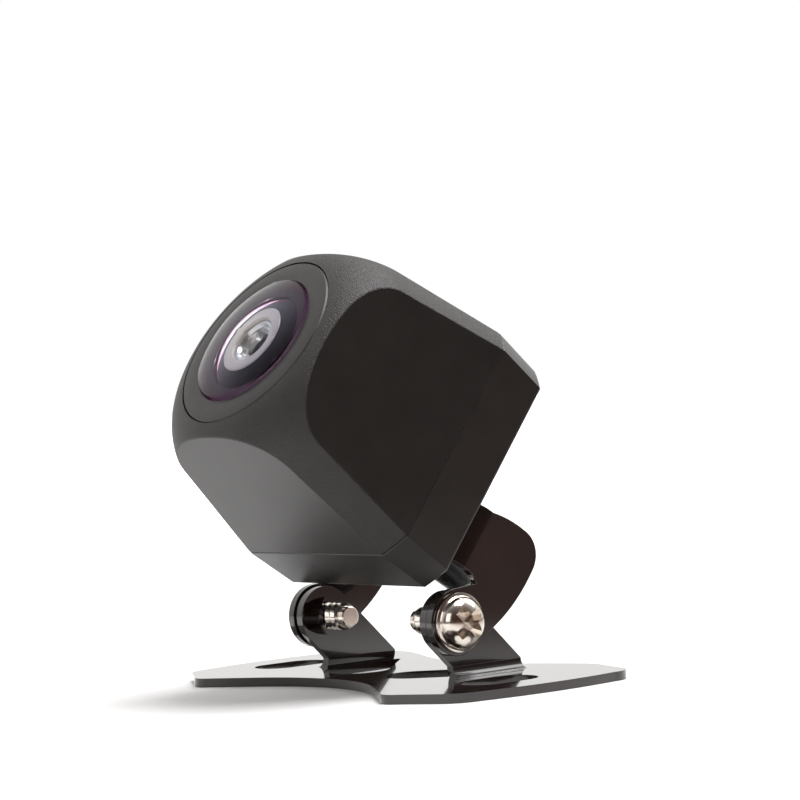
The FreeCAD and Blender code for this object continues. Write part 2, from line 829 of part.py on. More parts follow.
def make_boards():
    """Two notched circuit boards, the plug between them and the chips on them."""
    outline_corners = notched_square("dims.board_half", "dims.board_notch")
    rear = "dims.sensor_board_rear"
    blank = slab("sensor_board_blank", outline_corners, rear, "dims.board_thick")
    holes = [
        cylinder(f"sensor_board_hole{i}", "dims.holder_screw_shank + 0.05", "3", *place)
        for i, place in enumerate(HOLDER_SCREWS)
    ]
    keep(on_head(less("sensor_board", blank, *holes)), "sensor_board")
    one_on_head("image_sensor", block("sensor_chip", "2.6", "2.3", "0.9", z=f"{rear} + dims.board_thick"))

    under = "dims.main_board_rear"
    main = slab("main_board", outline_corners, under, "dims.main_board_thick")
    keep(on_head(main), "main_board")
    top = f"({under} + dims.main_board_thick)"
    one_on_head("board_link", block("link_plug", "4.5", "1.0", f"{rear} - {top}", y="7", z=top))
    chip_high = "0.8"
    chip = block("processor_chip", "2.6", "2.6", chip_high, x="-5", y="1.6", z=f"{under} - {chip_high}")
    one_on_head("image_processor", chip)
    coil_place = ("5.6", "2")
    coil_high = "1.0"
    coil = less(
        "power_coil",
        block("power_coil_case", "1.5", "1.5", coil_high, *coil_place, z=f"{under} - {coil_high}"),
        cylinder("power_coil_dimple", "0.5", "0.15", *coil_place, z=f"{under} - {coil_high}"),
    )
    keep(on_head(coil), "power_coil")
    socket = less(
        "lead_connector",
        block("lead_connector_case", "3", "1.5", "1.4", y="6", z=f"{under} - 1.4"),
        block("lead_connector_mouth", "2.6", "1.2", "0.9", y="5.6", z=f"{under} - 1.15"),
    )
    keep(on_head(socket), "lead_connector")


def make_gland():
    """Moulded sleeve where the cable leaves: flange inside the cover, tapered tail outside."""
    root = "dims.gland_root_radius"
    inside = "-dims.cover_depth + dims.cover_wall"
    face = "-dims.cover_depth"
    body = turned(
        "cable_gland_sleeve",
        [
            ("dims.gland_bore", f"{inside} + 0.45"),
            (f"{root} + 0.6", f"{inside} + 0.45"),
            (f"{root} + 0.6", inside),
            (root, inside),
            (root, f"{face} - 2"),
            ("dims.gland_tip_radius", f"{face} - dims.gland_length + 0.3"),
            ("dims.gland_tip_radius - 0.3", f"{face} - dims.gland_length"),
            ("dims.gland_bore", f"{face} - dims.gland_length"),
        ],
    )
    bind(body, Placement__Base__y="-dims.gland_drop")
    one_on_head("cable_gland", body)


# ---------------------------------------------------------------- yoke

def make_yoke():
    """Folded sheet: a web on the cover's back, two bends and two hooked arms that end in an eye."""
    body = new_body("yoke")
    thick = "dims.sheet_thick"
    face = "-dims.cover_depth"
    flat_end = f"(dims.arm_inner + {thick} - dims.yoke_bend)"

    web = sketch_on(body, "XY_Plane", "yoke_web", f"{face} - {thick}")
    notch = "(dims.gland_root_radius + 0.3)"
    low = "-dims.web_bottom"
    high = "-dims.web_top"
    outline(
        web,
        [
            (f"-{flat_end}", low),
            (flat_end, low),
            (flat_end, high),
            (notch, high),
            (notch, "-dims.gland_drop", notch, -1),
            ("0", f"-dims.gland_drop - {notch}", notch, -1),
            (f"-{notch}", "-dims.gland_drop"),
            (f"-{notch}", high),
            (f"-{flat_end}", high),
        ],
    )
    pad(body, web, thick)

    bend = sketch_on(body, "XZ_Plane", "yoke_bend", "dims.web_top")
    outer = f"dims.arm_inner + {thick}"
    inner_bend = f"(dims.yoke_bend - {thick})"
    outline(
        bend,
        [
            (flat_end, f"{face} - {thick}", inner_bend, -1),
            ("dims.arm_inner", f"{face} - dims.yoke_bend"),
            (outer, f"{face} - dims.yoke_bend", "dims.yoke_bend", 1),
            (flat_end, face),
        ],
    )
    bend_pad = pad(body, bend, "dims.web_bottom - dims.web_top")

    arm = sketch_on(body, "YZ_Plane", "yoke_arm", "dims.arm_inner")
    axis_up = "-dims.axis_below_lens"
    axis_forward = "-dims.axis_behind_joint"

    def eye_point(angle):
        across = f"{axis_forward} - dims.arm_eye * cos({angle})"
        return f"{axis_up} + dims.arm_eye * sin({angle})", across

    def arm_point(drop, back):
        return f"-{drop}", f"{face} - {back}"

    back_of_eye = eye_point("dims.eye_back_angle")
    under_eye = eye_point("(dims.eye_front_angle + dims.eye_back_angle) / 2 + 180")
    front_of_eye = eye_point("dims.eye_front_angle")
    outline(
        arm,
        [
            arm_point("dims.web_top", "dims.yoke_bend"),
            arm_point("dims.web_bottom", "dims.yoke_bend") + ("2.3", -1),
            arm_point("dims.arm_throat_drop", "dims.arm_throat"),
            front_of_eye + ("dims.arm_eye", 1),
            under_eye + ("dims.arm_eye", 1),
            back_of_eye,
            arm_point("dims.arm_waist_drop", "dims.arm_waist") + ("16", 1),
            arm_point("(dims.arm_crest + dims.arm_corner)", "dims.arm_depth")
            + ("dims.arm_corner", 1),
            arm_point("dims.arm_crest", "(dims.arm_depth - dims.arm_corner)") + ("12", 1),
        ],
    )
    arm_pad = pad(body, arm, thick)
    mirrored(body, bend_pad, arm_pad)

    holes = sketch_on(body, "YZ_Plane", "yoke_eye_holes")
    circle(holes, axis_up, axis_forward, "dims.arm_hole")
    pocket(body, holes)

    taps = sketch_on(body, "XY_Plane", "yoke_web_holes", f"{face} + 1")
    for x, y in YOKE_SCREWS:
        circle(taps, x, y, "dims.yoke_screw_shank + dims.yoke_screw_slack")
    pocket(body, taps)
    keep(on_head(body), "yoke")


def make_yoke_screws():
    """Two pan-head screws that hold the yoke to the cover."""
    screws = []
    outer_face = "(-dims.cover_depth - dims.sheet_thick)"
    radius = "dims.yoke_screw_head"
    wing = "1.1"
    wing_thick = "0.2"
    for i, (x, y) in enumerate(YOKE_SCREWS):
        head = cone(f"yoke_screw_head{i}", f"{radius} - 0.4", radius, "0.5", z=f"{outer_face} - 1.1")
        bind(head, Placement__Base__x=x, Placement__Base__y=y)
        land = cylinder(f"yoke_screw_land{i}", radius, "0.6", x, y, z=f"{outer_face} - 0.6")
        shank = cylinder(f"yoke_screw_shank{i}", "dims.yoke_screw_shank", "3.3", x, y, z=f"{outer_face} - 0.3")
        slots = [
            block(f"yoke_screw_slot{i}{j}", a, b, "0.9", x, y, z=f"{outer_face} - 1.4")
            for j, (a, b) in enumerate(((wing, wing_thick), (wing_thick, wing)))
        ]
        screws.append(less(f"yoke_screw{i}", joined(f"yoke_screw_blank{i}", head, land, shank), *slots))
    keep(on_head(group("yoke_screws", *screws)), "yoke_screws")


# ---------------------------------------------------------------- base

def make_base_bracket():
    """Butterfly plate with a slot in each lobe and two ears lanced out of it and folded up."""
    body = new_body("base_bracket")
    thick = "dims.sheet_thick"
    plate = sketch_on(body, "XY_Plane", "base_plate")
    neck = "dims.neck_half"
    front_neck = "(dims.waist_front + dims.neck_front_dip)"
    rear_neck = "(dims.waist_rear + dims.neck_rear_dip)"
    front_sweep = f"(({neck} ^ 2 + dims.neck_front_dip ^ 2) / (2 * dims.neck_front_dip))"
    rear_sweep = f"(({neck} ^ 2 + dims.neck_rear_dip ^ 2) / (2 * dims.neck_rear_dip))"
    small = "dims.lobe_round"
    large = "(2 * dims.lobe_round)"
    half = [
        ("0", "-dims.waist_front", front_sweep, -1),
        (neck, f"-{front_neck}"),
        ("dims.toe_place - 1.3", "-dims.toe_front", small, 1),
        ("dims.toe_place + 1.1", "-dims.toe_front + 0.1"),
        ("dims.side_half - 2.1", "-dims.side_front - 2.7", large, 1),
        ("dims.side_half - 0.8", "-dims.side_front", "40", 1),
        ("dims.side_half - 0.5", "dims.side_rear", "(1.5 * dims.lobe_round)", 1),
        ("dims.side_half - 2.0", "dims.side_rear + 2.5"),
        ("dims.heel_place + 1.3", "dims.heel_rear - 0.1", large, 1),
        ("dims.heel_place - 1.6", "dims.heel_rear - 0.2"),
        (neck, rear_neck, rear_sweep, -1),
        ("0", "dims.waist_rear"),
    ]
    outline(plate, both_sides(half))
    pad(body, plate, thick)

    ear_inner = f"(dims.ear_outer - {thick})"
    foot = f"({thick} + dims.ear_bend)"
    lean = "dims.ear_eye * sqrt(0.5)"
    run = f"(dims.tilt_axis_height - {foot})"
    ear = sketch_on(body, "YZ_Plane", "base_ear", ear_inner)
    height = "dims.tilt_axis_height"
    foot_rear = f"({run} + 2 * {lean})"
    foot_front = f"({run} - 2 * {lean})"
    outline(
        ear,
        [
            (foot_front, foot),
            (foot_rear, foot),
            (lean, f"{height} + {lean}", "dims.ear_eye", 1),
            (f"-{lean}", f"{height} + {lean}", "dims.ear_eye", 1),
            (f"-{lean}", f"{height} - {lean}"),
        ],
    )
    ear_pad = pad(body, ear, thick)

    fold = sketch_on(body, "XZ_Plane", "base_fold", f"-{foot_rear}")
    outline(
        fold,
        [
            (f"dims.ear_outer + dims.ear_bend", thick, "dims.ear_bend", -1),
            ("dims.ear_outer", foot),
            (ear_inner, foot, foot, 1),
            ("dims.ear_outer + dims.ear_bend", "0"),
        ],
    )
    fold_pad = pad(body, fold, f"{foot_rear} - {foot_front}")

    collar = sketch_on(body, "YZ_Plane", "base_collar", f"{ear_inner} - dims.collar_length")
    circle(collar, "0", height, "dims.collar_radius")
    collar_pad = pad(body, collar, "dims.collar_length")
    mirrored(body, ear_pad, fold_pad, collar_pad)

    hinge_holes = sketch_on(body, "YZ_Plane", "base_hinge_holes")
    circle(hinge_holes, "0", height, "dims.ear_hole")
    pocket(body, hinge_holes)
    return body, ear_inner, foot, run, foot_rear


def both_sides(half):
    """A closed outline from its +X half, whose first and last corners lie on the centre line."""
    back = []
    for i in range(len(half) - 1, 0, -1):
        x, y = half[i][:2]
        place = x if x == "0" else f"-({x})"
        back.append((place, y, *half[i - 1][2:]))
    return half[:-1] + back


def finish_base_bracket(body, ear_inner, foot, run, foot_rear):
    """Open the windows that the ears were lanced from, and the two fixing slots."""
    fold_length = "(pi / 2 * (dims.ear_bend + dims.sheet_thick / 2))"
    centre = f"(dims.ear_outer + dims.ear_bend - {fold_length} - {run})"
    round_end = "(dims.ear_eye + dims.window_kerf)"
    lean = f"{round_end} * sqrt(0.5)"
    window = sketch_on(body, "XY_Plane", "base_window")
    outline(
        window,
        [
            (f"{centre} + {lean}", f"-{lean}"),
            (ear_inner, f"{ear_inner} - {centre} - 2 * {lean}"),
            (ear_inner, f"{foot_rear} + dims.window_kerf"),
            (f"{centre} + {foot_rear} + dims.window_kerf - 2 * {lean}", f"{foot_rear} + dims.window_kerf"),
            (f"{centre} - {lean}", lean, round_end, 1),
            (f"{centre} - {lean}", f"-{lean}", round_end, 1),
        ],
    )
    window_cut = pocket(body, window)
    slot = sketch_on(body, "XY_Plane", "base_slot")
    straight = "(dims.slot_half_length - dims.slot_half_width)"
    inner = "dims.slot_place - dims.slot_half_width"
    outer = "dims.slot_place + dims.slot_half_width"
    middle = "dims.slot_place"
    end = "dims.slot_half_length"
    shift = "dims.slot_back"
    radius = "dims.slot_half_width"
    outline(
        slot,
        [
            (outer, f"{shift} - {straight}"),
            (outer, f"{shift} + {straight}", radius, 1),
            (middle, f"{shift} + {end}", radius, 1),
            (inner, f"{shift} + {straight}"),
            (inner, f"{shift} - {straight}", radius, 1),
            (middle, f"{shift} - {end}", radius, 1),
        ],
    )
    slot_cut = pocket(body, slot)
    mirror = mirrored(body, window_cut, slot_cut)
    mirror.Label = "base_openings_mirror"
    keep(body, "base_bracket")


def make_hinge_screws():
    """Two pan-head screws, from outside through the yoke's eyes into the base's tapped collars."""
    base = "dims.screw_head_base"
    rim = f"{base} + dims.screw_flange"
    top = f"{base} + dims.screw_head_height"
    body = new_body("hinge_screw_blank")
    sketch = sketch_on(body, "XY_Plane", "hinge_screw_profile")
    outline(
        sketch,
        [
            ("dims.screw_tip", "0"),
            (top, "0"),
            (top, "1.0", "2.6", 1),
            (f"{rim} + 0.15", "dims.screw_crown_radius"),
            (rim, "dims.screw_crown_radius + 0.05"),
            (rim, "dims.screw_flange_radius - 0.05"),
            (f"{rim} - 0.1", "dims.screw_flange_radius"),
            (base, "dims.screw_flange_radius"),
            (base, "dims.screw_shank"),
            ("dims.screw_tip + 0.45", "dims.screw_shank"),
            ("dims.screw_tip", "dims.screw_tip_radius"),
        ],
    )
    turn = body.newObject("PartDesign::Revolution", "hinge_screw_turn")
    turn.Profile = sketch
    turn.ReferenceAxis = (sketch, ["H_Axis"])
    turn.Angle = 360
    wing_one = block("hinge_screw_wing_a", "0.55", "1.3", "0.56", x=top, z="-0.28")
    wing_two = block("hinge_screw_wing_b", "0.55", "0.28", "2.6", x=top, z="-1.3")
    screw = less("hinge_screw", body, wing_one, wing_two)
    pair = group("hinge_screws", screw, mirror_of(screw, "hinge_screw_far"))
    bind(pair, Placement__Base__z="dims.tilt_axis_height")
    keep(pair, "hinge_screws")


def make_hinge_washers():
    """Thin washers between each ear and the yoke's eye."""
    disc = cylinder("hinge_washer_disc", "dims.washer_radius", "dims.washer_thick")
    hole = cylinder("hinge_washer_hole", "dims.washer_hole", "1", z="-0.4")
    ring = less("hinge_washer", disc, hole)
    ring.Placement = FreeCAD.Placement(FreeCAD.Vector(), FreeCAD.Rotation(Y_AXIS, 90))
    bind(ring, Placement__Base__x="dims.ear_outer")
    pair = group("hinge_washers", ring, mirror_of(ring, "hinge_washer_far"))
    bind(pair, Placement__Base__z="dims.tilt_axis_height")
    keep(pair, "hinge_washers")


# ---------------------------------------------------------------- build

make_front_shell()
make_back_cover()
make_cover_screws()
keep(on_head(gasket_frame("cover_gasket", "0")), "cover_gasket")
make_trim_ring()
make_dome()
make_barrel()
make_accent_ring()
make_pupil_cone()
make_lens_stack()
make_lens_seal()
make_lens_holder()
make_holder_screws()
make_boards()
make_gland()
make_yoke()
make_yoke_screws()
finish_base_bracket(*make_base_bracket())
make_hinge_screws()
make_hinge_washers()
doc.recompute()

for thing in doc.Objects:
    if "Invalid" in thing.State or "Error" in thing.State:
        raise RuntimeError(f"{thing.Name} ({thing.Label}) failed: {thing.State}")
for node in nodes:
    if node.Shape.isNull() or not node.Shape.isValid() or not node.Shape.Solids:
        raise RuntimeError(f"{node.Label} has no valid solid")

os.makedirs("parts", exist_ok=True)
for node in nodes:
    node.Shape.exportStep(f"parts/{node.Label}.step")
    box = node.Shape.BoundBox
    print(
        f"{node.Label}: {len(node.Shape.Solids)} solid(s), {node.Shape.Volume:.2f} mm3,"
        f" {box.XLength:.2f} x {box.YLength:.2f} x {box.ZLength:.2f} mm"
    )
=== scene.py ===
# %% [markdown]
# # A small reversing camera on a folded bracket
#
# The engineering model arrives as a fixed frame: every part has its true size, its place and the
# body it moves with. This lesson dresses that frame. Shapes that are already right keep their mesh and
# only get a finish. Pressed sheet metal and the screws get a finer mesh, because light
# on them shows every edge.

# %% The tools and the frame
import json
from math import asin, cos, pi, radians, sin, tau

import bmesh
import bpy
from mathutils import Matrix, Vector


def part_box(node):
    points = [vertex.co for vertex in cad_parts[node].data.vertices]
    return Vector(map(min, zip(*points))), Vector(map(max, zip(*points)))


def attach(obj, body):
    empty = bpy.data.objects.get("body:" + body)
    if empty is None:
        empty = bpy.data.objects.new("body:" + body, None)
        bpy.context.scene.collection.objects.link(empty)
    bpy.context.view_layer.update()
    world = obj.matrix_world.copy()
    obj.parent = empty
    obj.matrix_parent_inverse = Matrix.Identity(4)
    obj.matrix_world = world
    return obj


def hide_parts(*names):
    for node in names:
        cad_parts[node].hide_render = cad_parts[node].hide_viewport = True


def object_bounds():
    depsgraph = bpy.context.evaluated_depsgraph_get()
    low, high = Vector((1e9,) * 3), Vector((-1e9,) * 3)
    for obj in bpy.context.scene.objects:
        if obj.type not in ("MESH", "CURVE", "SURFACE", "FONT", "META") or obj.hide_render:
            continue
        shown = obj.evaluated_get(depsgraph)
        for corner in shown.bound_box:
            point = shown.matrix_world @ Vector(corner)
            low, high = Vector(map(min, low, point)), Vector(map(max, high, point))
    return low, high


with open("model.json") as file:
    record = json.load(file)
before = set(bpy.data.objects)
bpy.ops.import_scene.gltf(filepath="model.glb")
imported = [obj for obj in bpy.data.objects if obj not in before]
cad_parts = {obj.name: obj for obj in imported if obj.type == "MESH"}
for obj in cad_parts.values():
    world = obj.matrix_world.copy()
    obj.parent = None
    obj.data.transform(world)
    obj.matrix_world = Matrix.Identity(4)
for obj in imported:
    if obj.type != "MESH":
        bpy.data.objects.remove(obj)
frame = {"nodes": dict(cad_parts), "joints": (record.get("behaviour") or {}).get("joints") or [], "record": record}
cad_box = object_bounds()
MM = 0.001
scene = bpy.context.scene
nodes = frame["nodes"]

# %% [markdown]
# ## Two rulers to measure with
#
# The head leans back, so it is easiest to think of it in its own directions: to the side, up the head
# and forward through the lens. The hinge axis is a line that both rulers share. The frame says where
# that axis is. The leaning direction could be read from the glass, but a domed shape only gives it
# roughly. The sensor board is flat and stands square to the lens, so its largest face gives it exactly.

# %% Find the tilt axis and the head's own directions
hinge = Vector(frame["joints"][0]["pos_m"])
glass_low, glass_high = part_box("lens_dome")


def lens_direction():
    """The forward direction of the lens: square to the largest face of the sensor board."""
    largest = max(nodes["sensor_board"].data.polygons, key=lambda face: face.area)
    return Vector((0, -abs(largest.normal.y), abs(largest.normal.z))).normalized()


forward = lens_direction()
upward = Vector((0, forward.z, -forward.y))
lean = asin(forward.z)
print(f"the lens looks up by {lean * 180 / pi:.2f} degrees")

# %% The lens axis
heights = [(v.co - hinge).dot(upward) for v in nodes["lens_barrel"].data.vertices]
lens_height = (max(heights) + min(heights)) / 2
lens_foot = hinge + upward * lens_height
print(f"the lens axis passes {lens_height / MM:.2f} mm above the hinge axis")

# %% [markdown]
# ## Camera
#
# A long lens from a modest distance, almost level with the object. A long lens keeps the far edges of
# the little cube nearly parallel. The camera is rolled by a few degrees, as a hand-held one would be.

# %% Place the camera
AIM = Vector((1.51, 2.03, 24.59)) * MM
CAMERA_DISTANCE = 236.98 * MM
CAMERA_TURN = radians(51.75)
CAMERA_RISE = radians(0.21)
CAMERA_ROLL = radians(-3.26)

camera_data = bpy.data.cameras.new("camera")
camera_data.lens = 121.5
camera_data.sensor_width = 36
camera_data.clip_start = 0.01
camera = bpy.data.objects.new("camera", camera_data)
scene.collection.objects.link(camera)
stand = Matrix.Rotation(CAMERA_TURN, 4, "Z") @ Matrix.Rotation(pi / 2 - CAMERA_RISE, 4, "X")
back_away = stand.to_3x3() @ Vector((0, 0, CAMERA_DISTANCE))
camera.matrix_world = Matrix.Translation(AIM + back_away) @ stand @ Matrix.Rotation(CAMERA_ROLL, 4, "Z")
scene.camera = camera
print("camera at", [round(v / MM) for v in camera.location], "mm")

# %% [markdown]
# ## A small kit for wiring shader nodes
#
# Each finish below is a short recipe of nodes. Nodes could be wired by hand each time, but the same few
# moves keep coming back, so a small class holds them: add a node, join sockets, make noise, turn a value
# into colours with a ramp, vary the roughness, and raise a bump.


# %% Helpers for recipes
class Recipe:
    """A new material and short ways to add nodes to it."""

    def __init__(self, name):
        self.material = bpy.data.materials.new(name)
        self.material.use_nodes = True
        self.tree = self.material.node_tree
        self.shader = self.tree.nodes["Principled BSDF"]

    def add(self, kind, **settings):
        node = self.tree.nodes.new(kind)
        for name, value in settings.items():
            setattr(node, name, value)
        return node

    def join(self, start, end):
        self.tree.links.new(start, end)

    def fixed(self, **values):
        for name, value in values.items():
            self.shader.inputs[name.replace("_", " ")].default_value = value

    def place(self):
        """Position on the part itself, which doesn't change when the part moves."""
        return self.add("ShaderNodeTexCoord").outputs["Object"]

    def noise(self, scale, detail=4.0, rough=0.55, stretch=None):
        node = self.add("ShaderNodeTexNoise")
        node.inputs["Scale"].default_value = scale
        node.inputs["Detail"].default_value = detail
        node.inputs["Roughness"].default_value = rough
        source = self.place()
        if stretch:
            scaled = self.add("ShaderNodeMapping")
            scaled.inputs["Scale"].default_value = stretch
            self.join(source, scaled.inputs["Vector"])
            source = scaled.outputs["Vector"]
        self.join(source, node.inputs["Vector"])
        return node.outputs["Fac"]

    def ramp(self, source, *stops):
        node = self.add("ShaderNodeValToRGB")
        points = node.color_ramp.elements
        while len(points) < len(stops):
            points.new(1.0)
        for point, (at, colour) in zip(points, stops):
            point.position = at
            point.color = (*colour, 1) if isinstance(colour, tuple) else (colour, colour, colour, 1)
        self.join(source, node.inputs["Fac"])
        return node.outputs["Color"]

    def calculate(self, kind, first, second):
        """One step of arithmetic on two values, each a socket or a plain number."""
        node = self.add("ShaderNodeMath", operation=kind)
        for socket, value in zip(node.inputs, (first, second)):
            if isinstance(value, (int, float)):
                socket.default_value = value
            else:
                self.join(value, socket)
        return node.outputs[0]

    def rough_from(self, source, low, high):
        node = self.add("ShaderNodeMapRange")
        node.inputs["To Min"].default_value = low
        node.inputs["To Max"].default_value = high
        self.join(source, node.inputs["Value"])
        self.join(node.outputs["Result"], self.shader.inputs["Roughness"])

    def bump(self, height, distance, strength=1.0, over=None):
        node = self.add("ShaderNodeBump")
        node.inputs["Distance"].default_value = distance
        node.inputs["Strength"].default_value = strength
        self.join(height, node.inputs["Height"])
        if over:
            self.join(over, node.inputs["Normal"])
        self.join(node.outputs["Normal"], self.shader.inputs["Normal"])
        return node.outputs["Normal"]


print("kit ready")

# %% [markdown]
# ## Moulded housing
#
# The shell is injection-moulded in black. Two textures come out of one mould: the round nose and the
# slanted corner strips are spark-eroded, with a fine grain, and the four flats are polished to a
# satin. An image could be wrapped round it, but the mould's own logic is simpler: where the surface
# faces squarely to a side it is a flat, and everywhere else it is grained. The surface's own
# direction on the part tells the two apart.


# %% The housing's two textures
def head_normal(recipe):
    """The surface's direction in the head's own terms: x to the side, y up the head, z forward."""
    turned = recipe.add("ShaderNodeVectorRotate", rotation_type="X_AXIS")
    turned.inputs["Angle"].default_value = lean - pi / 2
    recipe.join(recipe.add("ShaderNodeTexCoord").outputs["Normal"], turned.inputs["Vector"])
    return turned.outputs["Vector"]


def flat_sides(recipe):
    """1 on the four flats and on the back, 0 on the nose and the corner strips."""
    parts = recipe.add("ShaderNodeSeparateXYZ")
    recipe.join(head_normal(recipe), parts.inputs["Vector"])
    across = recipe.calculate("ABSOLUTE", parts.outputs["X"], 0.0)
    high = recipe.calculate("ABSOLUTE", parts.outputs["Y"], 0.0)
    most = recipe.calculate("MAXIMUM", across, high)
    behind = recipe.calculate("MULTIPLY", parts.outputs["Z"], -1.0)
    most = recipe.calculate("MAXIMUM", most, behind)
    return recipe.ramp(most, (0.978, 0.0), (0.99, 1.0))


def make_housing():
    recipe = Recipe("housing")
    flats = flat_sides(recipe)
    cloud = recipe.noise(260.0, detail=3.0)
    recipe.join(
        recipe.ramp(cloud, (0.3, (0.0125, 0.0108, 0.01)), (0.7, (0.018, 0.0155, 0.0145))),
        recipe.shader.inputs["Base Color"],
    )
    grain = recipe.noise(8000.0, detail=2.0, rough=0.6)
    smooth = recipe.noise(2600.0, detail=2.0)
    recipe.rough_from(flats, 0.47, 0.36)
    shallow = recipe.bump(smooth, 0.000006, strength=0.35)
    grained = recipe.calculate("MULTIPLY", grain, recipe.calculate("SUBTRACT", 1.0, flats))
    recipe.bump(grained, 0.00008, strength=1.0, over=shallow)
    recipe.fixed(IOR=1.5)
    return recipe.material


housing = make_housing()
print("made", housing.name)

# %% [markdown]
# The back cover is a second moulding from the same black, but its mould is polished all over: even its
# slanted corners are smooth. So it gets the flats' satin on every face.


# %% The cover's satin
def make_cover_satin():
    recipe = Recipe("cover_satin")
    cloud = recipe.noise(260.0, detail=3.0)
    recipe.join(
        recipe.ramp(cloud, (0.3, (0.0125, 0.0108, 0.01)), (0.7, (0.018, 0.0155, 0.0145))),
        recipe.shader.inputs["Base Color"],
    )
    recipe.rough_from(recipe.noise(700.0), 0.3, 0.38)
    recipe.bump(recipe.noise(2600.0, detail=2.0), 0.000006, strength=0.35)
    return recipe.material


cover_satin = make_cover_satin()
print("made", cover_satin.name)

# %% [markdown]
# The ring round the glass is moulded apart from the shell, from the same black, and left smooth. It
# takes the light a little more evenly, so it reads as a paler grey disc set into the grained nose.


# %% Smooth moulded trim
def make_trim():
    recipe = Recipe("trim_plastic")
    cloud = recipe.noise(420.0)
    recipe.join(
        recipe.ramp(cloud, (0.3, (0.016, 0.0145, 0.0135)), (0.7, (0.021, 0.019, 0.018))),
        recipe.shader.inputs["Base Color"],
    )
    recipe.rough_from(recipe.noise(1500.0), 0.4, 0.5)
    recipe.bump(recipe.noise(4200.0, detail=2.0), 0.00001, strength=0.35)
    return recipe.material


trim_plastic = make_trim()
print("made", trim_plastic.name)

# %% [markdown]
# ## Stoved paint on sheet steel
#
# The bracket is pressed from sheet and dipped or sprayed in thick gloss black. A smooth gloss shader
# would look like glass, because such paint is never quite flat: it has a slow orange-peel ripple. The
# ripple bends the reflections, so it matters more than the colour. A clear coat gives the wet shine.


# %% Bracket paint
def make_paint():
    recipe = Recipe("bracket_paint")
    cloud = recipe.noise(180.0)
    recipe.join(
        recipe.ramp(cloud, (0.35, (0.008, 0.0042, 0.0036)), (0.7, (0.016, 0.0085, 0.007))),
        recipe.shader.inputs["Base Color"],
    )
    recipe.rough_from(recipe.noise(900.0), 0.07, 0.15)
    ripple = recipe.bump(recipe.noise(300.0, detail=1.0), 0.00002, strength=0.3)
    recipe.bump(recipe.noise(3600.0, detail=2.0), 0.000004, strength=0.4, over=ripple)
    recipe.fixed(Coat_Weight=0.8, Coat_Roughness=0.03, IOR=1.5)
    return recipe.material


bracket_paint = make_paint()
print("made", bracket_paint.name)

# %% [markdown]
# ## Plated and bare metals
#
# The screws are nickel plated: a warm silver, nearly a mirror, with faint turning marks that run round
# the screw. The stepped cone in the lens is turned from bright aluminium. Blackened steel serves for the
# washers and the small screws at the back.


# %% Metals
def make_metal(name, low, high, rough, marks, depth):
    recipe = Recipe(name)
    cloud = recipe.noise(700.0)
    recipe.join(recipe.ramp(cloud, (0.3, low), (0.7, high)), recipe.shader.inputs["Base Color"])
    recipe.rough_from(recipe.noise(1800.0), *rough)
    recipe.bump(recipe.noise(1200.0, detail=3.0, stretch=marks), depth, strength=0.5)
    recipe.fixed(Metallic=1.0)
    return recipe.material


nickel = make_metal("nickel", (0.7, 0.63, 0.56), (0.8, 0.74, 0.67), (0.1, 0.2), (6, 1, 1), 0.000004)
bright_metal = make_metal(
    "bright_metal", (0.5, 0.49, 0.46), (0.66, 0.65, 0.62), (0.16, 0.3), (1, 1, 3), 0.000006
)
dark_steel = make_metal(
    "washer_steel", (0.02, 0.02, 0.021), (0.05, 0.047, 0.045), (0.22, 0.36), (4, 1, 1), 0.000006
)
small_screw_steel = make_metal(
    "small_screw_steel", (0.05, 0.05, 0.052), (0.09, 0.088, 0.086), (0.25, 0.4), (1, 1, 3), 0.000006
)
black_anodised = make_metal(
    "black_anodised", (0.006, 0.006, 0.008), (0.014, 0.014, 0.018), (0.35, 0.5), (1, 1, 4), 0.000008
)
print("metals:", [m.name for m in (nickel, bright_metal, dark_steel, small_screw_steel, black_anodised)])

# %% [markdown]
# ## How far from the lens axis?
#
# Everything in a lens is round, so its colours change with the distance from the lens axis. A texture
# could be painted in rings, but the distance can be worked out from the place on the part itself: move
# the lens axis to the middle, turn it upright, flatten, and take the length.


# %% Distance from the lens axis, measured on a part of the head
glass_radius = (glass_high.x - glass_low.x) / 2


def distance_from_axis(recipe):
    shifted = recipe.add("ShaderNodeVectorMath", operation="SUBTRACT")
    recipe.join(recipe.place(), shifted.inputs[0])
    shifted.inputs[1].default_value = lens_foot
    turned = recipe.add("ShaderNodeVectorRotate", rotation_type="X_AXIS")
    turned.inputs["Angle"].default_value = lean - pi / 2
    recipe.join(shifted.outputs[0], turned.inputs["Vector"])
    flattened = recipe.add("ShaderNodeVectorMath", operation="MULTIPLY")
    recipe.join(turned.outputs["Vector"], flattened.inputs[0])
    flattened.inputs[1].default_value = (1, 1, 0)
    length = recipe.add("ShaderNodeVectorMath", operation="LENGTH")
    recipe.join(flattened.outputs[0], length.inputs[0])
    return length.outputs["Value"]


print(f"the glass is {glass_radius / MM:.2f} mm in radius")
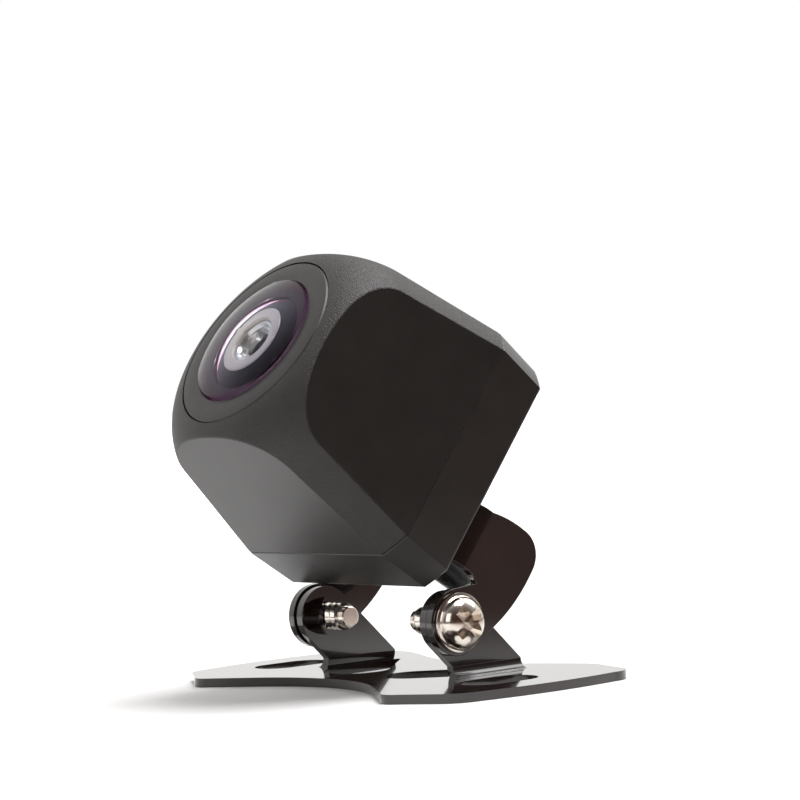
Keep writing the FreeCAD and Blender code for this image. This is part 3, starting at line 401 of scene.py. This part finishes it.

# %% [markdown]
# ## Glass with a coat
#
# The front glass is clear, with a violet colour that grows towards the rim: a painted reflection of its thin
# anti-reflection coat. A real meniscus this thin hardly bends what lies behind it, so the body of the glass is
# given a
# very low index, and the polish is laid over its outer face only, as a clear coat: what is inside stays
# crisp and in its true place.


# %% The coated front glass
def make_coated_glass():
    recipe = Recipe("coated_glass")
    far = recipe.calculate("DIVIDE", distance_from_axis(recipe), glass_radius)
    # Base colour by radius: nearly clear in the middle, then a painted violet coat reflection that darkens to
    # magenta at the rim.
    recipe.join(
        recipe.ramp(
            far,
            (0.0, (0.95, 0.945, 0.93)),
            (0.6, (0.8, 0.82, 0.92)),
            (0.84, (0.5, 0.46, 0.62)),
            (0.98, (0.36, 0.14, 0.28)),
        ),
        recipe.shader.inputs["Base Color"],
    )
    recipe.rough_from(recipe.noise(900.0), 0.0, 0.02)
    recipe.fixed(Transmission_Weight=1.0, IOR=1.06)
    recipe.fixed(Coat_IOR=1.45, Coat_Roughness=0.02)
    facing = recipe.add("ShaderNodeSeparateXYZ")
    recipe.join(head_normal(recipe), facing.inputs["Vector"])
    outer = recipe.calculate("GREATER_THAN", facing.outputs["Z"], 0.1)
    recipe.join(recipe.calculate("MULTIPLY", outer, 0.6), recipe.shader.inputs["Coat Weight"])
    return recipe.material


coated_glass = make_coated_glass()
print("made", coated_glass.name)

# %% [markdown]
# ## The small lenses and the filter
#
# The lenses behind the front glass are thick for their size, so they keep the true index of glass and do
# bend the view. A thin film gives their coating its green cast. The infrared filter is a flat blue-green
# plate. One glass could serve for all, but the colours tell the parts apart when the lens is opened.


# %% Lens glass and filter glass
def make_lens_glass():
    recipe = Recipe("lens_glass")
    cloud = recipe.noise(500.0)
    recipe.join(
        recipe.ramp(cloud, (0.3, (0.36, 0.52, 0.46)), (0.7, (0.44, 0.6, 0.56))),
        recipe.shader.inputs["Base Color"],
    )
    recipe.rough_from(cloud, 0.0, 0.04)
    recipe.fixed(Transmission_Weight=1.0, IOR=1.6, Thin_Film_Thickness=420.0, Thin_Film_IOR=1.38)
    return recipe.material


def make_filter_glass():
    recipe = Recipe("filter_glass")
    cloud = recipe.noise(500.0)
    recipe.join(
        recipe.ramp(cloud, (0.3, (0.4, 0.62, 0.66)), (0.7, (0.46, 0.68, 0.72))),
        recipe.shader.inputs["Base Color"],
    )
    recipe.rough_from(cloud, 0.01, 0.05)
    recipe.fixed(Transmission_Weight=1.0, IOR=1.52)
    return recipe.material


lens_glass = make_lens_glass()
filter_glass = make_filter_glass()
print("made", lens_glass.name, "and", filter_glass.name)

# %% [markdown]
# ## The barrel's black face
#
# What makes the lens look deep is the black face of its barrel, seen through the glass. It is blackened
# to swallow stray light, so it has almost no shine of its own. Plain black would look like a hole, so it
# goes from blue-black in the middle to a little magenta at the rim: a painted reflection of the lens coats, which
# add up there.


# %% The barrel's black, with a painted coat reflection at the rim
def make_barrel_black():
    recipe = Recipe("barrel_black")
    far = recipe.calculate("DIVIDE", distance_from_axis(recipe), glass_radius)
    # Base colour by radius: blue-black in the middle, then a painted magenta reflection of the lens coats towards
    # the rim.
    recipe.join(
        recipe.ramp(
            far,
            (0.5, (0.006, 0.0065, 0.011)),
            (0.72, (0.005, 0.005, 0.012)),
            (0.88, (0.014, 0.005, 0.018)),
            (0.98, (0.06, 0.01, 0.032)),
        ),
        recipe.shader.inputs["Base Color"],
    )
    recipe.rough_from(recipe.noise(1500.0), 0.5, 0.62)
    recipe.bump(recipe.noise(2200.0, detail=3.0), 0.000006, strength=0.4)
    recipe.fixed(Specular_IOR_Level=0.12)
    return recipe.material


barrel_black = make_barrel_black()
print("made", barrel_black.name)

# %% [markdown]
# ## Pale ring, rubber, boards and chips
#
# The pale ring is moulded in warm white and sits just behind the glass. The rest is mostly hidden in
# normal use, but a part that is taken apart should still look like what it is. All of them are moulded
# stuff that differs only in colour, shine and grain, so one function makes them all.


# %% Plain moulded finishes
def make_moulded(name, low, high, rough, grain=2400.0, depth=0.00001):
    recipe = Recipe(name)
    cloud = recipe.noise(380.0)
    recipe.join(recipe.ramp(cloud, (0.3, low), (0.7, high)), recipe.shader.inputs["Base Color"])
    recipe.rough_from(recipe.noise(1400.0), *rough)
    recipe.bump(recipe.noise(grain, detail=3.0), depth, strength=0.5)
    return recipe.material


pale_ring = make_moulded("pale_ring", (0.5, 0.455, 0.4), (0.57, 0.52, 0.46), (0.4, 0.55))
rubber = make_moulded("rubber", (0.008, 0.008, 0.008), (0.016, 0.015, 0.015), (0.2, 0.34), 1600.0)
holder_plastic = make_moulded("holder_plastic", (0.012, 0.012, 0.012), (0.022, 0.021, 0.021), (0.5, 0.65))
chip = make_moulded("chip", (0.014, 0.014, 0.016), (0.026, 0.026, 0.029), (0.5, 0.65), 5000.0)
coil_ferrite = make_moulded("coil_ferrite", (0.05, 0.05, 0.055), (0.09, 0.09, 0.1), (0.55, 0.7), 4000.0)
connector_plastic = make_moulded("connector_plastic", (0.62, 0.6, 0.5), (0.72, 0.7, 0.6), (0.35, 0.5))
print("moulded finishes ready, from", pale_ring.name, "to", connector_plastic.name)

# %% [markdown]
# The boards are green solder mask over fine copper tracks, which stand a little proud under it. Real
# tracks wander from part to part, but at this size a brick pattern gives the same fine, square order.


# %% Circuit board
def make_board():
    recipe = Recipe("board")
    tracks = recipe.add("ShaderNodeTexBrick")
    tracks.inputs["Scale"].default_value = 900.0
    tracks.inputs["Mortar Size"].default_value = 0.06
    tracks.inputs["Color1"].default_value = (0.006, 0.09, 0.03, 1)
    tracks.inputs["Color2"].default_value = (0.009, 0.12, 0.042, 1)
    tracks.inputs["Mortar"].default_value = (0.02, 0.2, 0.07, 1)
    recipe.join(recipe.place(), tracks.inputs["Vector"])
    recipe.join(tracks.outputs["Color"], recipe.shader.inputs["Base Color"])
    recipe.rough_from(recipe.noise(900.0), 0.25, 0.4)
    recipe.bump(tracks.outputs["Fac"], 0.00002, strength=0.4)
    return recipe.material


board = make_board()
print("finishes:", len(bpy.data.materials))

# %% [markdown]
# ## Softened sheet metal
#
# Pressed and painted sheet has no sharp edge: the press rounds it a little and the paint rounds it
# more. The engineering mesh has knife edges. It could be bent into shape by hand, but its outline is
# already right, so the way chosen is to copy it, weld the copy's faces together, and bevel every
# edge that turns sharply. The thin bevels are what catch the light. The copy is built afresh from its
# points, so that no old shading comes along and the big flats mirror without kinks.


# %% Copy a part and soften its edges
def softened(node, name, width, sharp=35, steps=2):
    """A welded copy of a part with every sharp edge bevelled by width."""
    work = bmesh.new()
    work.from_mesh(nodes[node].data)
    bmesh.ops.remove_doubles(work, verts=work.verts, dist=0.000002)
    bmesh.ops.dissolve_limit(
        work, angle_limit=radians(1.0), verts=work.verts, edges=work.edges, delimit=set()
    )
    points = [v.co.copy() for v in work.verts]
    work.verts.index_update()
    outlines = [[v.index for v in face.verts] for face in work.faces]
    work.free()
    mesh = bpy.data.meshes.new(name)
    mesh.from_pydata(points, [], outlines)
    piece = bpy.data.objects.new(name, mesh)
    scene.collection.objects.link(piece)
    bevel = piece.modifiers.new("soft_edges", "BEVEL")
    bevel.width = width
    bevel.segments = steps
    bevel.limit_method = "ANGLE"
    bevel.angle_limit = radians(sharp)
    bevel.harden_normals = True
    bevel.use_clamp_overlap = True
    mesh.shade_smooth()
    even = piece.modifiers.new("even_flats", "WEIGHTED_NORMAL")
    even.keep_sharp = True
    even.weight = 100
    print(name, "has", len(mesh.polygons), "faces before its bevels")
    return piece


def stand_for(piece, node, body, finish):
    """Let a piece take a part's place, ride on its body and wear a finish."""
    piece.data.materials.append(finish)
    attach(piece, body)
    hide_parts(node)
    return piece


# %% The bracket and the yoke
SHEET_EDGE = 0.09 * MM
base_sheet = softened("base_bracket", "bracket_plate_and_ears", SHEET_EDGE)
stand_for(base_sheet, "base_bracket", "base", bracket_paint)
yoke_sheet = softened("yoke", "folded_yoke", SHEET_EDGE)
stand_for(yoke_sheet, "yoke", "head", bracket_paint)
print(f"sheet edges softened by {SHEET_EDGE / MM:.2f} mm")

# %% [markdown]
# ## The hinge screws
#
# Each is a pan-head screw with a flange, a cross recess and a rolled thread. They are what a hand
# turns, and they shine, so they are made in full: the head and shank as one turned profile, the thread
# as a ridge that climbs round the shank, and the cross as four wings pressed into the dome. The profile
# is turned by code rather than with a screw modifier, because the thread has to fade in at its start and stop
# short of the arm.


# %% Measure the engineering screw
screw_low, screw_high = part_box("hinge_screws")
flange_radius = (screw_high.z - screw_low.z) / 2
screw_top = screw_high.x


def shank_tip():
    """How far in the screw on the +X side reaches towards the middle."""
    return min(v.co.x for v in nodes["hinge_screws"].data.vertices if v.co.x > 0)


tip = shank_tip()
print(f"screws reach from {tip / MM:.2f} to {screw_top / MM:.2f} mm, flange {flange_radius / MM:.2f} mm")

# %% [markdown]
# A turned part is a flat outline spun about its axis. Blender's screw modifier can do that, but here
# each point may also be moved a little as it goes round, which is what winds the thread.

# %% Turn a profile into a mesh
ROUND = 96


def turned_mesh(name, profile, around=ROUND, ripple=None):
    """Spin (x, radius) points about the x axis; ripple(x, radius, angle) may move a point."""
    work = bmesh.new()
    rings = []
    for x, radius in profile:
        if radius == 0:
            rings.append([work.verts.new((x, 0, 0))])
            continue
        ring = []
        for i in range(around):
            angle = tau * i / around
            true_radius = ripple(x, radius, angle) if ripple else radius
            ring.append(work.verts.new((x, true_radius * cos(angle), true_radius * sin(angle))))
        rings.append(ring)
    for one, two in zip(rings, rings[1:]):
        for i in range(around):
            a, b = one[i % len(one)], one[(i + 1) % len(one)]
            c, d = two[(i + 1) % len(two)], two[i % len(two)]
            corners = [v for k, v in enumerate((a, b, c, d)) if v not in (a, b, c, d)[:k]]
            if len(corners) > 2:
                work.faces.new(corners)
    bmesh.ops.recalc_face_normals(work, faces=work.faces)
    mesh = bpy.data.meshes.new(name)
    work.to_mesh(mesh)
    work.free()
    mesh.shade_smooth()
    return mesh


print("a turned part has", ROUND, "sides")

# %% [markdown]
# The shank ends in a plain narrow tip. Above it a coarse rolled thread climbs to the arm, then comes the
# flange, and on the flange the domed head. A thread could be a picture of rings in a bump, but light
# runs along its flanks, so it is cut into the shape.

# %% Sizes of the screw
THREAD_PITCH = 0.75 * MM
SHANK = 1.22 * MM
THREAD_DEPTH = 0.25 * MM
THREAD_STEPS = 120
TIP_FACE = 0.84 * MM
TIP_SHOULDER = 0.93 * MM
TIP_ROOT = 0.97 * MM
FLANGE_THICK = 0.38 * MM
FLANGE_EDGE = 0.09 * MM
HEAD_HEIGHT = 1.9 * MM
HEAD_FOOT = 2.29 * MM
HEAD_RADIUS = 2.23 * MM
RECESS = 1.1 * MM
arm_face = screw_top - HEAD_HEIGHT
THREAD_START = tip + 0.85 * MM
print(f"the thread runs from {THREAD_START / MM:.2f} to {arm_face / MM:.2f} mm")


# %% The profile, with its thread
def dome(first, last, radius, count):
    """Points of a pan head that bulges from its rim to its top."""
    points = []
    for i in range(count + 1):
        turn = i / count * pi / 2
        points.append((first + (last - first) * sin(turn), radius * cos(turn)))
    return points


def thread_height(x, radius, angle):
    """A rolled thread: it swells once each pitch and once each turn, fades in from its start, and stops just short
    of the arm.
    """
    inside = radius <= SHANK + 0.000001 and THREAD_START < x < arm_face - 0.1 * MM
    if not inside:
        return radius
    fade = min(1, (x - THREAD_START) / (0.3 * MM))
    wave = (x / THREAD_PITCH - angle / tau) % 1
    ridge = 1 - abs(2 * wave - 1)
    return radius - THREAD_DEPTH * fade * (1 - ridge)


def screw_profile():
    """From the tip, along the shank, out over the flange, and over the head to its middle."""
    points = [(tip, 0), (tip, TIP_FACE), (tip + 0.08 * MM, TIP_SHOULDER), (tip + 0.75 * MM, TIP_ROOT)]
    for i in range(THREAD_STEPS + 1):
        points.append((THREAD_START + (arm_face - THREAD_START) * i / THREAD_STEPS, SHANK))
    rim = arm_face + FLANGE_THICK
    edge = FLANGE_EDGE
    points += [
        (arm_face, flange_radius - edge),
        (arm_face + edge * 0.3, flange_radius - edge * 0.3),
        (arm_face + edge, flange_radius),
        (rim - edge, flange_radius),
        (rim - edge * 0.3, flange_radius - edge * 0.3),
        (rim, flange_radius - edge),
        (rim + 0.03 * MM, HEAD_FOOT),
    ]
    points += dome(rim + 0.1 * MM, screw_top, HEAD_RADIUS, 20)
    return points[:-1] + [(screw_top, 0)]


print("the screw's profile has", len(screw_profile()), "points")

# %% [markdown]
# The cross recess is pressed into the head by a pointed tool, so its walls slant. It could be drawn into
# the profile's mesh face by face, but cutting it out with a cross-shaped block leaves crisp edges.

# %% Cut the cross recess
CROSS_REACH = 1.85
CROSS_BLADE = 0.55


def cross_cutter(name):
    """Two crossed blades with slanted walls, as a cross-point driver leaves."""
    work = bmesh.new()
    for wide, tall in ((CROSS_REACH, CROSS_BLADE), (CROSS_BLADE, CROSS_REACH)):
        outer = [(y * wide * MM, z * tall * MM) for y, z in ((-1, -1), (1, -1), (1, 1), (-1, 1))]
        inner = [(y * 0.55, z * 0.55) for y, z in outer]
        top = [work.verts.new((screw_top + 0.3 * MM, y * 1.12, z * 1.12)) for y, z in outer]
        floor = [work.verts.new((screw_top - RECESS, y, z)) for y, z in inner]
        work.faces.new(top)
        work.faces.new(list(reversed(floor)))
        for i in range(4):
            j = (i + 1) % 4
            work.faces.new((top[i], floor[i], floor[j], top[j]))
    bmesh.ops.recalc_face_normals(work, faces=work.faces)
    mesh = bpy.data.meshes.new(name)
    work.to_mesh(mesh)
    work.free()
    cutter = bpy.data.objects.new(name, mesh)
    scene.collection.objects.link(cutter)
    return cutter


def cut_and_keep(piece, cutter):
    """Take the cutter out of the piece for good."""
    knife = piece.modifiers.new("cross", "BOOLEAN")
    knife.operation = "DIFFERENCE"
    knife.solver = "EXACT"
    knife.use_self = True
    knife.object = cutter
    done = bpy.data.meshes.new_from_object(
        piece.evaluated_get(bpy.context.evaluated_depsgraph_get())
    )
    piece.modifiers.clear()
    piece.data = done
    bpy.data.objects.remove(cutter)


print(f"the cross reaches {CROSS_REACH} mm and goes {RECESS / MM:.1f} mm deep")


# %% [markdown]
# Both screws are the same, so one is turned and the other is turned again and swung to the far side.

# %% Make the two screws
CROSS_TURN = radians(42)


def make_screw(name, side):
    mesh = turned_mesh(name, screw_profile(), ripple=thread_height)
    piece = bpy.data.objects.new(name, mesh)
    scene.collection.objects.link(piece)
    cut_and_keep(piece, cross_cutter(f"{name}_cutter"))
    turn = Matrix.Rotation(CROSS_TURN, 4, "X")
    flip = Matrix.Rotation(pi, 4, "Z") if side < 0 else Matrix.Identity(4)
    piece.data.transform(Matrix.Translation(hinge) @ flip @ turn)
    piece.data.set_sharp_from_angle(angle=radians(32))
    piece.data.materials.append(nickel)
    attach(piece, "base")
    print(name, "has", len(piece.data.polygons), "faces")
    return piece


screws = [make_screw("hinge_screw_right", 1), make_screw("hinge_screw_left", -1)]
for screw in screws:
    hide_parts("hinge_screws")

# %% [markdown]
# ## Finishes for the parts that keep their mesh
#
# The rest of the shapes are right as they come, so each only swaps its plain slot for one of the
# finishes above.

# %% Assign finishes by the record's slots
FINISHES = {
    "housing": housing,
    "trim_plastic": trim_plastic,
    "coated_glass": coated_glass,
    "lens_glass": lens_glass,
    "filter_glass": filter_glass,
    "black_anodised": black_anodised,
    "pale_ring": pale_ring,
    "bright_metal": bright_metal,
    "bracket_paint": bracket_paint,
    "nickel": nickel,
    "washer_steel": dark_steel,
    "small_screw_steel": small_screw_steel,
    "rubber": rubber,
    "holder_plastic": holder_plastic,
    "board": board,
    "chip": chip,
    "coil_ferrite": coil_ferrite,
    "connector_plastic": connector_plastic,
}
OWN_FINISH = {"lens_barrel": barrel_black, "back_cover": cover_satin}
for part in frame["record"]["subparts"]:
    thing = nodes[part["node"]]
    thing.data.materials.clear()
    thing.data.materials.append(OWN_FINISH.get(part["node"], FINISHES[part["material_slot"]]))

# %% [markdown]
# ## Floor and light
#
# A pale floor and a pale surround make a plain studio. Black plastic shows its shape only by what it
# reflects, so the surround isn't even: it is brightest behind the lens side and dims towards the other
# side, which leaves the near flank of the cube dark and the nose soft and grey. Gloss paint mirrors the
# floor as well, so what a reflection meets on that side of the floor is dark too, as if a dark card lay
# there. To the eye the paper stays pale all over, and glows a little far away to lose the horizon.


# %% Floor
FLOOR_HALF = 4.0
DARK_SIDE = (0.785, 0.619, 0)
MIX_OFF, MIX_ON = 6, 7  # a Mix node's two colour sockets


def make_floor():
    recipe = Recipe("floor_paper")
    cloud = recipe.noise(12.0)
    paper = recipe.ramp(cloud, (0.3, 0.86), (0.7, 0.88))
    recipe.rough_from(cloud, 0.6, 0.7)
    seen = recipe.add("ShaderNodeLightPath").outputs["Is Camera Ray"]
    aside = recipe.add("ShaderNodeVectorMath", operation="DOT_PRODUCT")
    recipe.join(recipe.place(), aside.inputs[0])
    aside.inputs[1].default_value = DARK_SIDE
    shaded = recipe.add("ShaderNodeMapRange", interpolation_type="SMOOTHSTEP")
    shaded.inputs["From Min"].default_value = -0.01
    shaded.inputs["From Max"].default_value = 0.09
    recipe.join(aside.outputs["Value"], shaded.inputs["Value"])
    # Painted shade: for every ray except the camera's, the floor on the dark side is painted dark brown, as a dark
    # card would be. It darkens reflections and bounce light there.
    painted_reflection_shade = recipe.ramp(shaded.outputs["Result"], (0.0, (0.88, 0.88, 0.88)), (1.0, (0.12, 0.07, 0.055)))
    choose = recipe.add("ShaderNodeMix", data_type="RGBA")
    recipe.join(seen, choose.inputs[0])
    recipe.join(painted_reflection_shade, choose.inputs[MIX_OFF])
    recipe.join(paper, choose.inputs[MIX_ON])
    recipe.join(choose.outputs[2], recipe.shader.inputs["Base Color"])
    recipe.fixed(Emission_Color=(1, 1, 1, 1))
    away = recipe.add("ShaderNodeVectorMath", operation="LENGTH")
    recipe.join(recipe.place(), away.inputs[0])
    glow = recipe.add("ShaderNodeMapRange", interpolation_type="SMOOTHSTEP")
    glow.inputs["From Min"].default_value = 0.08
    glow.inputs["From Max"].default_value = 0.6
    glow.inputs["To Max"].default_value = 0.9
    recipe.join(away.outputs["Value"], glow.inputs["Value"])
    lit = recipe.calculate("MULTIPLY", glow.outputs["Result"], seen)
    recipe.join(lit, recipe.shader.inputs["Emission Strength"])
    mesh = bpy.data.meshes.new("floor")
    far = FLOOR_HALF
    mesh.from_pydata([(-far, -far, 0), (far, -far, 0), (far, far, 0), (-far, far, 0)], [], [(0, 1, 2, 3)])
    mesh.materials.append(recipe.material)
    floor = bpy.data.objects.new("floor", mesh)
    scene.collection.objects.link(floor)
    return floor


print("made", make_floor().name)

# %% [markdown]
# The surround is a sky of greys with no walls. Softboxes all round could do the same, but a gradient has
# no edges that would show up in the glass and the paint.

# %% Surround
scene.view_settings.view_transform = "Standard"
BRIGHT_SIDE = Vector((-0.8, 0.42, 0.34)).normalized()


def make_surround():
    world = bpy.data.worlds.new("studio")
    scene.world = world
    world.use_nodes = True
    tree = world.node_tree
    out = tree.nodes["Background"]
    sight = tree.nodes.new("ShaderNodeTexCoord")
    bright_side = tree.nodes.new("ShaderNodeVectorMath")
    bright_side.operation = "DOT_PRODUCT"
    bright_side.inputs[1].default_value = BRIGHT_SIDE
    tree.links.new(sight.outputs["Generated"], bright_side.inputs[0])
    level = tree.nodes.new("ShaderNodeMapRange")
    level.inputs["From Min"].default_value = -0.75
    level.inputs["From Max"].default_value = 0.6
    tree.links.new(bright_side.outputs["Value"], level.inputs["Value"])
    shade = tree.nodes.new("ShaderNodeValToRGB")
    shade.color_ramp.elements[0].color = (0.06, 0.03, 0.022, 1)
    shade.color_ramp.elements[1].color = (1.0, 0.99, 0.98, 1)
    middle = shade.color_ramp.elements.new(0.45)
    middle.color = (0.17, 0.15, 0.145, 1)
    tree.links.new(level.outputs["Result"], shade.inputs["Fac"])
    seen = tree.nodes.new("ShaderNodeLightPath")
    choose = tree.nodes.new("ShaderNodeMix")
    choose.data_type = "RGBA"
    choose.inputs[MIX_ON].default_value = (1.0, 1.0, 1.0, 1)
    tree.links.new(seen.outputs["Is Camera Ray"], choose.inputs[0])
    tree.links.new(shade.outputs["Color"], choose.inputs[MIX_OFF])
    tree.links.new(choose.outputs[2], out.inputs["Color"])
    out.inputs["Strength"].default_value = 1.0


make_surround()
print("surround:", scene.world.name)

# %% [markdown]
# Three soft lamps do the modelling: a large one overhead, a weak one behind for the rear edges, and a fill
# in front. Point lamps would be simpler, but they leave hard dots on satin plastic.


# %% Lamps
def lamp(name, place, aim, size, power, colour=(1, 1, 1)):
    data = bpy.data.lights.new(name, "AREA")
    data.size = size
    data.energy = power
    data.color = colour
    light = bpy.data.objects.new(name, data)
    scene.collection.objects.link(light)
    light.location = place
    light.rotation_euler = (Vector(aim) - Vector(place)).to_track_quat("-Z", "Y").to_euler()
    return light


centre = (cad_box[0][2] + cad_box[1][2]) / 2
lamp("softbox_overhead", (0.15, 0.2, 0.85), (0, 0, centre), 0.5, 9.0)
lamp("strip_behind", (0.1, 0.6, 0.5), (0, 0, centre), 0.35, 1.2)
lamp("fill_in_front", (0.3, -0.75, 0.35), (0, 0, centre), 0.5, 1.2)
print("lights:", len(bpy.data.lights))
